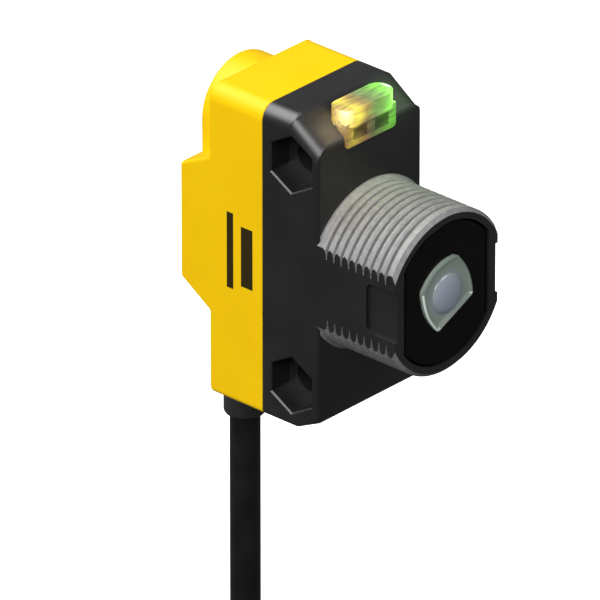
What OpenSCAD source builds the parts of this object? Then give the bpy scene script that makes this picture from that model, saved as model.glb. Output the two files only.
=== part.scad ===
// Miniature photoelectric sensor, right-angle body with a threaded barrel.
// Frame: origin midway between the two cross holes, X across the width,
// -Y the way the barrel points, +Z up. Millimetres.

/* [Body] */
// Width across the body and across the barrel flats
body_w = 15.5; // [12:0.5:20]
// Height of the body
body_h = 35; // [30:0.5:45]
// Depth of the black front half, parting plane to front face
front_depth = 7.7; // [6:0.1:12]
// Depth of the yellow rear half, parting plane to the rear wall
rear_depth = 7.3; // [6:0.1:12]
// Sloped top front edge, how far it runs back
top_run = 3.6; // [2:0.1:4]
// Sloped top front edge, how far it drops
top_drop = 2.5; // [1:0.1:3]
// Sloped bottom front edge, how far it runs back
foot_run = 3.1; // [2:0.1:4]
// Sloped bottom front edge, how far it rises
foot_rise = 1.5; // [1:0.1:3]
// Radius of the long top edges
edge_r = 1.5; // [0.5:0.1:3]
// Radius of the long bottom edges
foot_r = 0.6; // [0.2:0.1:2]
// Wall thickness
wall = 1.3; // [1:0.1:2]

/* [Barrel] */
// Outside radius of the barrel thread
barrel_r = 9; // [6:0.5:15]
// Length of the barrel beyond the front face
barrel_len = 10.4; // [8:0.1:20]
// Thread pitch
pitch = 1; // [0.5:0.25:2]
// Number of thread grooves
turns = 9; // [4:1:14]
// Depth of a thread groove
groove_d = 0.55; // [0.3:0.05:1]
// Radius of the window recess
window_r = 7.9; // [6:0.1:8.4]
// Half the distance between the flats of the window recess
window_flat = 6.4; // [5.5:0.1:6.6]
// Half height of the key recess in each barrel flat
recess_z = 2.8; // [1:0.1:4]
// Length of the key recess, from the rim
recess_len = 3.9; // [2:0.1:8]
// Depth of the key recess
recess_deep = 0.35; // [0.1:0.05:0.5]

/* [Fixing] */
// Spacing of the two cross holes
hole_gap = 25; // [20:0.1:28]
// Radius of a cross hole, clearance for M3
hole_r = 1.65; // [1.5:0.05:2.2]
// Nut pocket, across flats
nut_af = 5.5; // [5:0.1:6]
// Nut pocket depth
nut_depth = 2.75; // [2:0.05:4]

/* [Lens and lamps] */
// Width across the corners of the squarish lens, halved
lens_r = 4.2; // [3:0.1:5]
// Turn of the squarish lens about the barrel axis
lens_turn = 70; // [0:5:90]
// Half width of the indicator lens
lamp_w = 3.9; // [2:0.1:5]

/* [Cable] */
// Diameter of the cable
cable_d = 3.2; // [2.5:0.1:5]
// Free length of the cable hanging straight, from the boot to the hank
drop = 27; // [15:1:60]
// Turns of the hank inside each other
hank_cols = 2; // [1:1:3]
// Layers of turns beside each other
hank_rows = 6; // [2:2:8]
// Straight part of the hank, 15 to 20 cable diameters
hank_run = 60; // [48:1:64]

/* [Hidden] */
$fn = 64;
fine = 32;
half_w = body_w / 2;
z_mid = 17.2;
z_bot = -z_mid;
z_top = body_h - z_mid;
y_seam = 4;
y_front = y_seam - front_depth;
y_rim = y_front - barrel_len;
y_back = y_seam + rear_depth;
y_block = y_seam + 11.3;
y_arch = y_seam + 10.4;
arch_r = 5.7;
arch_z = 12;
rotor_r = 2.2;
stem_r = 1.15;
gain_y = 12.55;
block_top = 7.7;
block_bot = -5.3;
block_foot = -7.9;
cable_y = 13.5;
boot_r = 2.23;
boot_z = -23.3;
sock_r = 3;
sock_bot = -12;
sock_top = 4.5;
// seal between the halves, measured in from the outside
ring_out = 0.6;
ring_in = 1;
ring_deep = 0.6;
recess_r = 0.8;
// lens tube: outside, bore for the lens flange, bore for the light
tube_r = 5.95;
flange_r = 5;
sight_r = 4.1;
collar_r = 4.5;
slack = 0.05;
in_w = half_w - wall;
board_y = 5.2;
board_t = 1;
pin_r = 0.25;
pin_z = -6.8;
hole_z = hole_gap / 2;
win_y = y_rim + 0.15;
win_t = 1.85;
seal_y = win_y + win_t;
seal_t = 0.4;
nose_y = y_rim - 0.15;
stop_y = -7.5;
// indicator lens: front, back, top and corner radius; its light pipe
lamp_y0 = y_front - 0.2;
lamp_y1 = y_front + 2.2;
lamp_top = z_top + 0.5;
lamp_r = 1.1;
pipe_z = 15.6;
// sphere that the low dome on the lens is cut from
dome_r = 15.7;
dome_high = 0.2;
flange_t = 1.2;
back_r = 6.2;
// the folds turn at 3 cable diameters or more
hank_gap = 5 * cable_d;
hank_half = hank_gap / 2 + hank_cols * cable_d;
hank_t = hank_rows * cable_d;
hank_y = cable_y - hank_half + cable_d / 2;
hank_x = -cable_d / 2;
hank_top = boot_z - drop;
fold_top = hank_top - hank_half;
fold_low = fold_top - hank_run;
hank_low = fold_low - hank_half;
tail_x = cable_d;
// conductors: radius, and how far each lies from the middle of the cable
wire_r = 0.42;
lay = 0.55;

black_pl = [0.14, 0.14, 0.15];
yellow_pl = [0.95, 0.78, 0.09];
dark_win = [0.10, 0.06, 0.07];
clear_pl = [0.80, 0.88, 0.90];
rubber = [0.10, 0.10, 0.10];
board_green = [0.05, 0.32, 0.16];
metal = [0.80, 0.78, 0.70];

// Which piece to show

// ---------- shared outlines ----------

// A rounded rectangle centred on the body, seen from the front.
// r rounds its top corners and rb its bottom corners.
module front_outline(w, top, bottom, r, rb) {
  h = w / 2;
  translate([-h, bottom + rb]) square([w, top - bottom - r - rb]);
  translate([r - h, top - r - 1]) square([w - 2 * r, r + 1]);
  translate([rb - h, bottom]) square([w - 2 * rb, rb + 1]);
  for (s = [-1, 1]) {
    translate([s * (h - r), top - r]) circle(r);
    translate([s * (h - rb), bottom + rb]) circle(rb);
  }
}

// The front outline made solid between two planes along Y.
module along_y(y0, y1) {
  translate([0, y1, 0]) rotate([90, 0, 0]) linear_extrude(y1 - y0) children();
}

// A side profile, points as [y, z], made solid across X.
module across_x(x0, x1, pts) {
  translate([x0, 0, 0])
    rotate([90, 0, 90])
      linear_extrude(x1 - x0) polygon(pts);
}

module box(x0, x1, y0, y1, z0, z1) {
  translate([x0, y0, z0]) cube([x1 - x0, y1 - y0, z1 - z0]);
}

// A round bar along Y.
module rod_y(r, y0, y1, x = 0, z = 0) {
  translate([x, y1, z]) rotate([90, 0, 0]) cylinder(h = y1 - y0, r = r);
}

// A round bar along X.
module rod_x(r, x0, x1, y = 0, z = 0) {
  translate([x0, y, z]) rotate([0, 90, 0]) cylinder(h = x1 - x0, r = r);
}

// A circle with two vertical flats, seen from the front.
module flatted(r, flat) {
  intersection() {
    circle(r);
    square([2 * flat, 2 * r + 1], center = true);
  }
}

// The squarish lens outline.
module lens_square(grow = 0) {
  side = lens_r * sqrt(2) + 2 * grow;
  rotate(lens_turn - 45) square([side, side], center = true);
}

// ---------- housings ----------

// Half profile of the barrel with its thread as ring grooves.
module barrel_solid() {
  ledge = 0.5;
  first = 1.1;
  pts = concat(
    [[0, -2.0], [barrel_r, -2.0], [barrel_r, first - 0.35]],
    [for (k = [0:turns - 1]) for (p = [0, 1, 2, 3])
      [p == 0 || p == 3 ? barrel_r : barrel_r - groove_d,
       first + k * pitch + [-0.33, -0.03, 0.03, 0.33][p]]],
    [[barrel_r, barrel_len - ledge], [barrel_r - ledge, barrel_len],
     [0, barrel_len]]
  );
  translate([0, y_front, 0]) rotate([90, 0, 0]) rotate_extrude() polygon(pts);
}

// The key recess on a flat, its two inner corners rounded.
module recess_outline() {
  straight = recess_len - recess_r;
  translate([-recess_z, y_rim - 1]) square([2 * recess_z, straight + 1]);
  translate([recess_r - recess_z, y_rim])
    square([2 * (recess_z - recess_r), recess_len]);
  for (s = [-1, 1])
    translate([s * (recess_z - recess_r), y_rim + straight]) circle(recess_r);
}

// Outer shape of the front half, with its two slopes to the front face.
module front_skin() {
  intersection() {
    along_y(y_front, y_seam)
      front_outline(body_w, z_top, z_bot, edge_r, foot_r);
    across_x(-half_w, half_w, [
      [y_seam, z_bot], [y_seam, z_top], [y_front + top_run, z_top],
      [y_front, z_top - top_drop], [y_front, z_bot + foot_rise],
      [y_front + foot_run, z_bot]
    ]);
  }
}

module front_housing() {
  color(black_pl) difference() {
    union() {
      // outer skin of the body, hollow
      difference() {
        front_skin();
        across_x(-in_w, in_w, [
          [y_seam + 1, z_bot + wall], [y_seam + 1, z_top - wall],
          [y_front + top_run + 0.5, z_top - wall],
          [y_front + wall, z_top - top_drop - 0.9],
          [y_front + wall, z_bot + foot_rise + 1.4],
          [y_front + foot_run + 0.6, z_bot + wall]
        ]);
      }
      // bosses round the cross holes and the nut pockets
      intersection() {
        union() {
          for (s = [-1, 1]) {
            rod_x(3, -half_w, half_w, 0, s * hole_z);
            rod_x(4, -half_w, -half_w + nut_depth + 0.8, 0, s * hole_z);
          }
        }
        front_skin();
      }
      // the barrel, flush with the body sides
      intersection() {
        barrel_solid();
        box(-half_w, half_w, y_rim - 1, y_front + 1.3, -20, 20);
      }
    }
    // bore for the lens tube, seal ledge, window pocket
    rod_y(tube_r + slack, y_rim - 1, y_front + 4);
    along_y(y_rim - 1, seal_y + seal_t) flatted(window_r, window_flat);
    // cross holes with nut pockets on one side
    for (s = [-1, 1]) {
      rod_x(hole_r, -half_w - 1, half_w + 1, 0, s * hole_z);
      translate([-half_w - 1, 0, s * hole_z])
        rotate([0, 90, 0])
          cylinder(h = nut_depth + 1, r = nut_af / sqrt(3), $fn = 6);
    }
    // shallow key recess on each barrel flat, open at the rim
    for (s = [-1, 1])
      translate([s * half_w, 0, 0])
        rotate([0, 90, 0])
          translate([0, 0, -recess_deep])
            linear_extrude(2 * recess_deep) recess_outline();
    // seat and slot for the indicator lens
    lamp_solid(0.05);
  }
}

// The seal between the halves, and the groove that holds it.
module seal_ring() {
  difference() {
    inset_outline(ring_out, 1);
    inset_outline(ring_in, 0.8);
  }
}

// The body's outline, smaller all round.
module inset_outline(inset, r) {
  front_outline(body_w - 2 * inset, z_top - inset, z_bot + inset, r, r);
}

module rear_housing() {
  color(yellow_pl) difference() {
    union() {
      along_y(y_seam, y_back)
        front_outline(body_w, z_top, z_bot, edge_r, foot_r);
      // full-width block, its top and underside sloped
      across_x(-half_w, half_w, [
        [y_back - 2, block_top + 1.9], [y_block - 0.6, block_top],
        [y_block, block_top - 0.7], [y_block, block_bot],
        [y_back, block_foot], [y_back - 2, block_foot]
      ]);
      // arched boss above the block
      rod_y(arch_r, y_back - 2, y_arch, 0, arch_z);
      box(-arch_r, arch_r, y_back - 2, y_arch, block_top - 1, arch_z);
      // round socket for the cable boot
      translate([0, cable_y, sock_bot])
        cylinder(h = sock_top - sock_bot, r = sock_r);
    }
    // main cavity
    along_y(y_seam - 1, y_back - wall) inset_outline(wall, 0.8);
    // groove for the housing seal
    along_y(y_seam - 1, y_seam + ring_deep) seal_ring();
    // cavity of the block
    box(-in_w, in_w, y_back - 2, y_block - wall, -2.5, block_top - wall);
    // bore for the boot and the cable
    translate([0, cable_y, sock_bot - 1])
      cylinder(h = -sock_bot - 3.4 + 1, r = boot_r);
    translate([0, cable_y, sock_bot]) cylinder(h = 12, r = cable_d / 2);
    // round pocket for the clamp and the wires above the boot
    translate([0, cable_y, -2.5]) cylinder(h = 6.1, r = 2.35);
    // pot chamber, adjuster bore and seal groove
    box(-3.5, 3.5, y_back - 2, y_back + 0.1, arch_z - 3.5, arch_z + 3.5);
    rod_y(rotor_r + slack, y_back - 1, y_arch + 1, 0, arch_z);
    translate([0, gain_y, arch_z]) rotate([90, 0, 0])
      rotate_extrude() translate([2.2, -0.4]) square([0.75, 0.8]);
  }
}

module housing_seal() {
  color(rubber) along_y(y_seam, y_seam + ring_deep) seal_ring();
}

// ---------- optics ----------

module window() {
  color(dark_win) along_y(win_y, win_y + win_t) difference() {
    flatted(window_r - slack, window_flat - slack);
    lens_square(slack);
  }
}

module window_seal() {
  color(rubber) along_y(seal_y, seal_y + seal_t) difference() {
    flatted(window_r - slack, window_flat - slack);
    circle(tube_r + 2 * slack);
  }
}

module objective_lens() {
  y0 = seal_y;
  color(clear_pl) union() {
    // squarish nose through the window
    along_y(nose_y, y0) lens_square();
    // low dome on the nose
    intersection() {
      translate([0, nose_y - dome_high + dome_r, 0]) sphere(dome_r, $fn = 96);
      along_y(nose_y - 2 * dome_high, nose_y + dome_high) circle(2.5);
    }
    rod_y(flange_r, y0, y0 + flange_t);
    // strongly curved back
    intersection() {
      translate([0, y0 + flange_t + 2 - back_r, 0]) sphere(back_r, $fn = 96);
      rod_y(collar_r - 0.1, y0 + flange_t / 2, y0 + flange_t + 2);
    }
  }
}

module lens_tube() {
  color(black_pl) difference() {
    rod_y(tube_r, seal_y, y_front + 1.35);
    rod_y(flange_r + slack, seal_y - 1, seal_y + flange_t);
    rod_y(collar_r, seal_y, stop_y);
    rod_y(sight_r, seal_y, y_front + 2);
  }
}

module light_stop() {
  color(black_pl) difference() {
    rod_y(collar_r - slack, stop_y - 0.5, stop_y);
    rod_y(1.6, stop_y - 1, stop_y + 1);
  }
}

module photodiode() {
  color([0.12, 0.10, 0.14]) difference() {
    box(-2, 2, -3.5, y_front + 1.4, -2, 2);
    box(-1.2, 1.2, -4, -3.35, -1.2, 1.2);
  }
}

// The four pins that join the boards, and their holes.
module pin_row(r, y0, y1) {
  for (x = [-3, -1, 1, 3]) rod_y(r, y0, y1, x, pin_z);
}

module sensor_board() {
  color(board_green) difference() {
    box(-5.9, 5.9, y_front + 1.4, y_front + 2.2, -8, 8);
    pin_row(pin_r + 0.01, y_front + 1, y_front + 3);
  }
}

// ---------- boards ----------

module link_block() {
  color(black_pl) difference() {
    box(-4.2, 4.2, y_front + 2.2, board_y, -7.9, -5.7);
    pin_row(pin_r + 0.01, y_front + 2, board_y + 1);
  }
}

module link_pins() {
  color(metal) pin_row(pin_r, y_front + 1.45, board_y + board_t + 0.6);
}

module main_board() {
  color(board_green) difference() {
    box(-5.9, 5.9, board_y, board_y + board_t, -15.2, 16.4);
    pin_row(pin_r + 0.01, board_y - 1, board_y + 2);
  }
}

// Outline of the indicator lens, grown a little for its seat.
module lamp_solid(g = 0) {
  w = lamp_w + g;
  r = lamp_r + g;
  // upper block with round ends, standing proud of the slope
  translate([0, 0, 15.2]) linear_extrude(lamp_top - 15.2) {
    translate([r - w, lamp_y0 - g])
      square([2 * (w - r), lamp_y1 - lamp_y0 + 2 * g]);
    translate([-w, lamp_y0 + lamp_r])
      square([2 * w, lamp_y1 - lamp_y0 - 2 * lamp_r]);
    for (s = [-1, 1], y = [lamp_y0 + lamp_r, lamp_y1 - lamp_r])
      translate([s * (w - r), y]) circle(r);
  }
  // lower plate with clipped corners, in the front face
  translate([0, lamp_y0 + 1.2, 0]) rotate([90, 0, 0]) linear_extrude(1.2 + g)
    polygon([
      [-w - 0.1, 15.5], [-w - 0.1, 14.45 - g], [-w + 0.35, 14 - g],
      [w - 0.35, 14 - g], [w + 0.1, 14.45 - g], [w + 0.1, 15.5]
    ]);
  // light pipe back to the lamps
  box(-3.6 - g, 3.6 + g, -2, y_seam + 0.2, pipe_z - g, pipe_z + 0.8 + g);
}

module indicator_lens() {
  color(clear_pl) lamp_solid();
}

module amber_led() {
  color([1.0, 0.62, 0.10]) box(-3.4, -1.8, 4.4, board_y, pipe_z, pipe_z + 0.8);
}

module green_led() {
  color([0.20, 0.90, 0.15]) box(1.8, 3.4, 4.4, board_y, pipe_z, pipe_z + 0.8);
}

module control_chip() {
  color([0.09, 0.09, 0.10]) difference() {
    box(-2.5, 2.5, board_y + board_t, board_y + board_t + 1, -4, 1);
    rod_y(0.3, board_y + board_t + 0.8, board_y + 3, -1.8, 0.3);
  }
}

module output_transistors() {
  color([0.09, 0.09, 0.10]) for (x = [-4, 1.2]) {
    box(x, x + 2.8, board_y + board_t, board_y + board_t + 1.1, -11, -9.6);
    for (q = [0.2, 2.2])
      box(x + q, x + q + 0.4, board_y + board_t, board_y + board_t + 0.4,
        -11.6, -9);
  }
}

module capacitors() {
  color([0.85, 0.55, 0.15]) for (x = [-4.6, 1.4])
    box(x, x + 3.2, board_y + board_t, board_y + board_t + 1.7, -14.4, -12.6);
}

// ---------- gain adjuster ----------

module gain_pot_body() {
  y0 = board_y + board_t;
  color([0.16, 0.30, 0.62]) difference() {
    box(-3.3, 3.3, y0, y_back - 1, arch_z - 3.3, arch_z + 3.3);
    rod_y(stem_r + slack, y0 + 1.2, y_back, 0, arch_z);
  }
}

module gain_seal() {
  color(rubber) translate([0, gain_y, arch_z]) rotate([90, 0, 0])
    rotate_extrude() translate([2.6, 0]) circle(0.35, $fn = 24);
}

module gain_rotor() {
  color([0.90, 0.90, 0.86]) difference() {
    union() {
      rod_y(rotor_r, y_back - 0.7, y_arch + 0.4, 0, arch_z);
      rod_y(stem_r, board_y + board_t + 1.5, y_back - 0.5, 0, arch_z);
    }
    // screwdriver slot
    box(-0.35, 0.35, y_arch - 0.5, y_arch + 1, arch_z - 1.7, arch_z + 1.7);
  }
}

// ---------- cable end inside the body ----------

module cable_boot() {
  top = -3.4;
  color(rubber) translate([0, cable_y, 0]) difference() {
    union() {
      translate([0, 0, boot_z + 0.5])
        cylinder(h = top - boot_z - 0.5, r = boot_r);
      translate([0, 0, boot_z])
        cylinder(h = 0.5, r1 = boot_r - 0.4, r2 = boot_r);
    }
    translate([0, 0, boot_z - 1])
      cylinder(h = top - boot_z + 2, r = cable_d / 2);
  }
}

module cable_clamp() {
  color(metal) translate([0, cable_y, -2.5]) difference() {
    cylinder(h = 0.9, r = 2.2);
    translate([0, 0, -1]) cylinder(h = 3, r = cable_d / 2);
    translate([-3, -4.6, -1]) cube([6, 2.6, 3]);
  }
}

// A wire that rises out of the cable end, turns and meets the board.
module wire(x, y, z) {
  r = wire_r;
  bend = 1.5;
  translate([x, y, -1.2]) cylinder(h = z - bend + 1.2, r = r, $fn = fine);
  translate([x, y - bend, z - bend]) rotate([90, 0, 90])
    rotate_extrude(angle = 90) translate([bend, 0]) circle(r, $fn = fine);
  translate([x, y - bend, z]) rotate([90, 0, 0])
    cylinder(h = y - bend - board_y - board_t, r = r, $fn = fine);
}

module brown_wire() {
  color([0.36, 0.19, 0.09]) wire(-lay, cable_y - lay, 1.9);
}

module blue_wire() {
  color([0.10, 0.28, 0.70]) wire(lay, cable_y - lay, 1.9);
}

module black_wire() {
  color([0.10, 0.10, 0.10]) wire(-lay, cable_y + lay, 3);
}

module white_wire() {
  color([0.92, 0.92, 0.90]) wire(lay, cable_y + lay, 3);
}

// ---------- cable, hank and bare ends ----------

module cable() {
  color(rubber) translate([0, cable_y, fold_top])
    cylinder(h = -1.2 - fold_top, r = cable_d / 2);
}

// A long loop with round ends, seen from the side.
module loop_outline(r) {
  square([2 * r, hank_run], center = true);
  for (s = [-1, 1]) translate([0, s * hank_run / 2]) circle(r);
}

module cable_hank() {
  color(rubber) {
    translate([hank_x, hank_y, (fold_top + fold_low) / 2])
      rotate([90, 0, 90]) linear_extrude(hank_t) difference() {
        loop_outline(hank_half);
        loop_outline(hank_gap / 2);
      }
    // the last run carries on down past the fold
    translate([tail_x, cable_y, hank_low - 2])
      cylinder(h = fold_low - hank_low + 4, r = cable_d / 2);
  }
}

module hank_tie() {
  z = (fold_top + fold_low) / 2;
  w = 0.8;
  color(rubber) difference() {
    box(hank_x - w, hank_x + hank_t + w, hank_y - hank_half - w,
      hank_y + hank_half + w, z - 2.5, z + 2.5);
    box(hank_x, hank_x + hank_t, hank_y - hank_half,
      hank_y + hank_half, z - 3, z + 3);
  }
}

// One bare conductor at the far end.
module lead(x, y) {
  translate([tail_x + x, cable_y + y, hank_low - 20])
    cylinder(h = 18, r = wire_r, $fn = fine);
}

module brown_lead() {
  color([0.36, 0.19, 0.09]) lead(-lay, -lay);
}

module blue_lead() {
  color([0.10, 0.28, 0.70]) lead(lay, -lay);
}

module black_lead() {
  color([0.10, 0.10, 0.10]) lead(-lay, lay);
}

module white_lead() {
  color([0.92, 0.92, 0.90]) lead(lay, lay);
}

module lead_tips() {
  color(metal) for (x = [-lay, lay], y = [-lay, lay])
    translate([tail_x + x, cable_y + y, hank_low - 26])
      cylinder(h = 6, r = 0.28, $fn = fine);
}

front_housing();
rear_housing();
housing_seal();
window();
window_seal();
objective_lens();
lens_tube();
light_stop();
photodiode();
sensor_board();
link_block();
link_pins();
main_board();
indicator_lens();
amber_led();
green_led();
control_chip();
output_transistors();
capacitors();
gain_pot_body();
gain_seal();
gain_rotor();
cable_boot();
cable_clamp();
brown_wire();
blue_wire();
black_wire();
white_wire();
cable();
cable_hank();
hank_tie();
brown_lead();
blue_lead();
black_lead();
white_lead();
lead_tips();
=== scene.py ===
import math

import bmesh
import bpy
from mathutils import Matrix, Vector


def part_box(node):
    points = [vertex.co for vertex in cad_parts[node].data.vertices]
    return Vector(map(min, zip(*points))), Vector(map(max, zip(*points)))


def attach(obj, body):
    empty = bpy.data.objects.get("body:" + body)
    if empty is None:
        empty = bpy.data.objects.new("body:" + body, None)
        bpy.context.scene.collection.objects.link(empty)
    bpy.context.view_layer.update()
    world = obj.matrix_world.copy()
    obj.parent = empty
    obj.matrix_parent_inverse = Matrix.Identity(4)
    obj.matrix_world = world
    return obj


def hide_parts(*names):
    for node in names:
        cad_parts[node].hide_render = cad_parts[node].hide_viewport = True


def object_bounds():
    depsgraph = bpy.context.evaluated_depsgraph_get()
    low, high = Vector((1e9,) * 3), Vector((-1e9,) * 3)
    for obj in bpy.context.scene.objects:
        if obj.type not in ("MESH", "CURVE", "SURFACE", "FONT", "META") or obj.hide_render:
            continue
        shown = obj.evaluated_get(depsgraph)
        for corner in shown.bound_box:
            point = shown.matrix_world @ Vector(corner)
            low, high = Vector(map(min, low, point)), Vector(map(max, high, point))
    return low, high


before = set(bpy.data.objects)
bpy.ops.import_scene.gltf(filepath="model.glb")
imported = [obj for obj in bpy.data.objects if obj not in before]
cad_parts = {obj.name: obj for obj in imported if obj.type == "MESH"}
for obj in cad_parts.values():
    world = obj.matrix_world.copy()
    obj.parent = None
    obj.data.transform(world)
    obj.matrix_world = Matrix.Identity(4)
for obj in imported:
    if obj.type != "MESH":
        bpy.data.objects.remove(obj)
cad_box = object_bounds()


# ---------------------------------------------------------------- camera
# The viewer stands in front and to the left of the barrel and looks a little down on it,
# from far enough away that the upright edges stay almost parallel.
mm = 0.001
azimuth = math.radians(-47.6)
elevation = math.radians(27.38)
distance = 1400 * mm
to_viewer = Vector((
    math.sin(azimuth) * math.cos(elevation),
    -math.cos(azimuth) * math.cos(elevation),
    math.sin(elevation),
))
to_right = Vector((math.cos(azimuth), math.sin(azimuth), 0))
to_top = to_viewer.cross(to_right)
aim = Vector((-0.25, 1.0, -0.1)) * mm - to_right * 3.43 * mm - to_top * 5.21 * mm
bpy.ops.object.camera_add(
    location=aim + to_viewer * distance,
    rotation=to_viewer.to_track_quat("Z", "Y").to_euler(),
)
camera = bpy.context.object
camera.data.sensor_width = 36
camera.data.lens = 829.2
camera.data.clip_end = 50
bpy.context.scene.camera = camera


# ---------------------------------------------------------------- cable
# Two metres of round four-wire cable in a soft black jacket. It hangs straight out of the
# boot and is then folded into a hank: one outer turn, the inner turns side by side, and the
# outer turns back, so that each run lies one diameter from the next.
cable_low, cable_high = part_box("cable")
hank_low, hank_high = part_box("cable_hank")
boot_low, boot_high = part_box("cable_boot")
cable_r = (cable_high.x - cable_low.x) / 2
cable_x = (cable_low.x + cable_high.x) / 2
cable_y = (cable_low.y + cable_high.y) / 2
hank_y = (hank_low.y + hank_high.y) / 2
hank_half = (hank_high.y - hank_low.y) / 2
hank_rows = 6
row_step = 2 * cable_r
outer = hank_half - cable_r
inner = outer - 2 * cable_r
tail_past_fold = 2 * mm
fold_top = hank_high.z - hank_half
fold_low = hank_low.z + tail_past_fold + hank_half
leg_steps = 8
fold_steps = 12


def eased(t):
    """0 to 1 with a soft start and a soft end."""
    return t * t * (3 - 2 * t)


# Each leg of the hank is its row and its distance from the middle where it starts and ends.
legs = [(0, outer, outer), (0, outer, inner)]
for row in range(hank_rows - 1):
    legs += [(row, inner, inner), (row + 1, inner, inner)]
legs += [(hank_rows - 1, inner, outer), (hank_rows - 1, outer, outer)]
for row in range(hank_rows - 2, 1, -1):
    legs += [(row, outer, outer)] * 2
legs.append((1, outer, outer))

drop_steps = 14
points = [
    Vector((cable_x, cable_y, cable_high.z + (fold_top - cable_high.z) * i / drop_steps))
    for i in range(drop_steps)
]
for count, (row, start, end) in enumerate(legs):
    down = count % 2 == 0
    side = 1 if down else -1
    first_z, last_z = (fold_top, fold_low) if down else (fold_low, fold_top)
    x = cable_x + row * row_step
    for i in range(leg_steps + 1):
        t = i / leg_steps
        out = start + (end - start) * eased(t)
        points.append(Vector((x, hank_y + side * out, first_z + (last_z - first_z) * t)))
    if count + 1 < len(legs):
        next_x = cable_x + legs[count + 1][0] * row_step
        for i in range(1, fold_steps):
            t = i / fold_steps
            turn = math.pi * t
            points.append(Vector((
                x + (next_x - x) * eased(t),
                hank_y + side * end * math.cos(turn),
                last_z - side * end * math.sin(turn),
            )))
points.append(points[-1] - Vector((0, 0, hank_half / 2)))
points.append(Vector((points[-1].x, points[-1].y, hank_low.z)))

cable_curve = bpy.data.curves.new("cable_run", "CURVE")
cable_curve.dimensions = "3D"
cable_curve.bevel_depth = cable_r
cable_curve.bevel_resolution = 6
cable_curve.use_fill_caps = True
cable_curve.resolution_u = 3
cable_line = cable_curve.splines.new("NURBS")
cable_line.points.add(len(points) - 1)
for spot, point in zip(cable_line.points, points):
    spot.co = (*point, 1)
cable_line.order_u = 4
cable_line.use_endpoint_u = True
cable_run = bpy.data.objects.new("cable_run", cable_curve)
bpy.context.scene.collection.objects.link(cable_run)


def moulded(name, tones, patch, gloss, grain, depth, coat=0.0, metallic=0.0, shine=0.5):
    """A moulded surface: two close tones in soft patches, uneven gloss and a fine grain.

    patch and grain are sizes in metres, gloss is the lowest and highest roughness,
    depth is how far the grain stands out and shine is how strongly the surface reflects.
    """
    material = bpy.data.materials.new(name)
    material.use_nodes = True
    nodes, links = material.node_tree.nodes, material.node_tree.links
    shader = nodes["Principled BSDF"]
    shader.inputs["Metallic"].default_value = metallic
    shader.inputs["Coat Weight"].default_value = coat
    shader.inputs["Specular IOR Level"].default_value = shine
    place = nodes.new("ShaderNodeTexCoord")
    patches = nodes.new("ShaderNodeTexNoise")
    patches.inputs["Scale"].default_value = 1 / patch
    patches.inputs["Detail"].default_value = 4
    links.new(place.outputs["Object"], patches.inputs["Vector"])
    tone = nodes.new("ShaderNodeValToRGB")
    tone.name = "tone"
    tone.color_ramp.elements[0].position = 0.35
    tone.color_ramp.elements[1].position = 0.65
    tone.color_ramp.elements[0].color = (*tones[0], 1)
    tone.color_ramp.elements[1].color = (*tones[1], 1)
    links.new(patches.outputs["Fac"], tone.inputs["Fac"])
    links.new(tone.outputs["Color"], shader.inputs["Base Color"])
    fine = nodes.new("ShaderNodeTexNoise")
    fine.inputs["Scale"].default_value = 1 / grain
    fine.inputs["Detail"].default_value = 3
    links.new(place.outputs["Object"], fine.inputs["Vector"])
    rough = nodes.new("ShaderNodeMapRange")
    rough.inputs["From Min"].default_value = 0.3
    rough.inputs["From Max"].default_value = 0.7
    rough.inputs["To Min"].default_value = gloss[0]
    rough.inputs["To Max"].default_value = gloss[1]
    links.new(patches.outputs["Fac"], rough.inputs["Value"])
    links.new(rough.outputs["Result"], shader.inputs["Roughness"])
    bump = nodes.new("ShaderNodeBump")
    bump.name = "grain"
    bump.inputs["Distance"].default_value = depth
    bump.inputs["Strength"].default_value = 1
    links.new(fine.outputs["Fac"], bump.inputs["Height"])
    links.new(bump.outputs["Normal"], shader.inputs["Normal"])
    return material


jacket = moulded(
    "cable jacket", ((0.005, 0.005, 0.006), (0.009, 0.009, 0.010)),
    patch=4 * mm, gloss=(0.42, 0.52), grain=0.25 * mm, depth=0.006 * mm, shine=0.25,
)
cable_curve.materials.append(jacket)
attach(cable_run, "sensor")
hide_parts("cable", "cable_hank")


# ---------------------------------------------------------------- hank tie
# A flat strap of black nylon pulled round the middle of the hank. Its end passes through a
# small locking head and sticks out beside it as a tongue.
tie_low, tie_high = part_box("hank_tie")
tie_thick = 0.8 * mm
head_half = 2.6 * mm
head_stand = 2.4 * mm
head_past_strap = 0.6 * mm
tongue_start = 2.2 * mm
tongue_end = 6.5 * mm
tongue_stand = 1.0 * mm
tongue_inset = 0.5 * mm


def only(piece):
    """Makes one piece the selected and the active one."""
    bpy.ops.object.select_all(action="DESELECT")
    piece.select_set(True)
    bpy.context.view_layer.objects.active = piece


def edit(piece):
    """Opens one piece in edit mode with all of it selected."""
    only(piece)
    bpy.ops.object.mode_set(mode="EDIT")
    bpy.ops.mesh.select_all(action="SELECT")


def done():
    bpy.ops.object.mode_set(mode="OBJECT")


def pick(piece, kind, test):
    """In edit mode, selects the vertices, edges or faces whose corners all pass a test."""
    bpy.ops.mesh.select_mode(type=kind)
    bpy.ops.mesh.select_all(action="DESELECT")
    mesh = bmesh.from_edit_mesh(piece.data)
    for part in {"VERT": mesh.verts, "EDGE": mesh.edges, "FACE": mesh.faces}[kind]:
        corners = [part] if kind == "VERT" else part.verts
        if all(test(corner.co) for corner in corners):
            part.select_set(True)
    bmesh.update_edit_mesh(piece.data)


def near(a, b):
    return abs(a - b) < 0.01 * mm


def block(name, low, high):
    """A box between two corners."""
    bpy.ops.object.select_all(action="DESELECT")
    low, high = Vector(low), Vector(high)
    bpy.ops.mesh.primitive_cube_add(size=1, location=(low + high) / 2, scale=high - low)
    bpy.ops.object.transform_apply(location=True, rotation=True, scale=True)
    piece = bpy.context.object
    piece.name = name
    return piece


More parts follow.
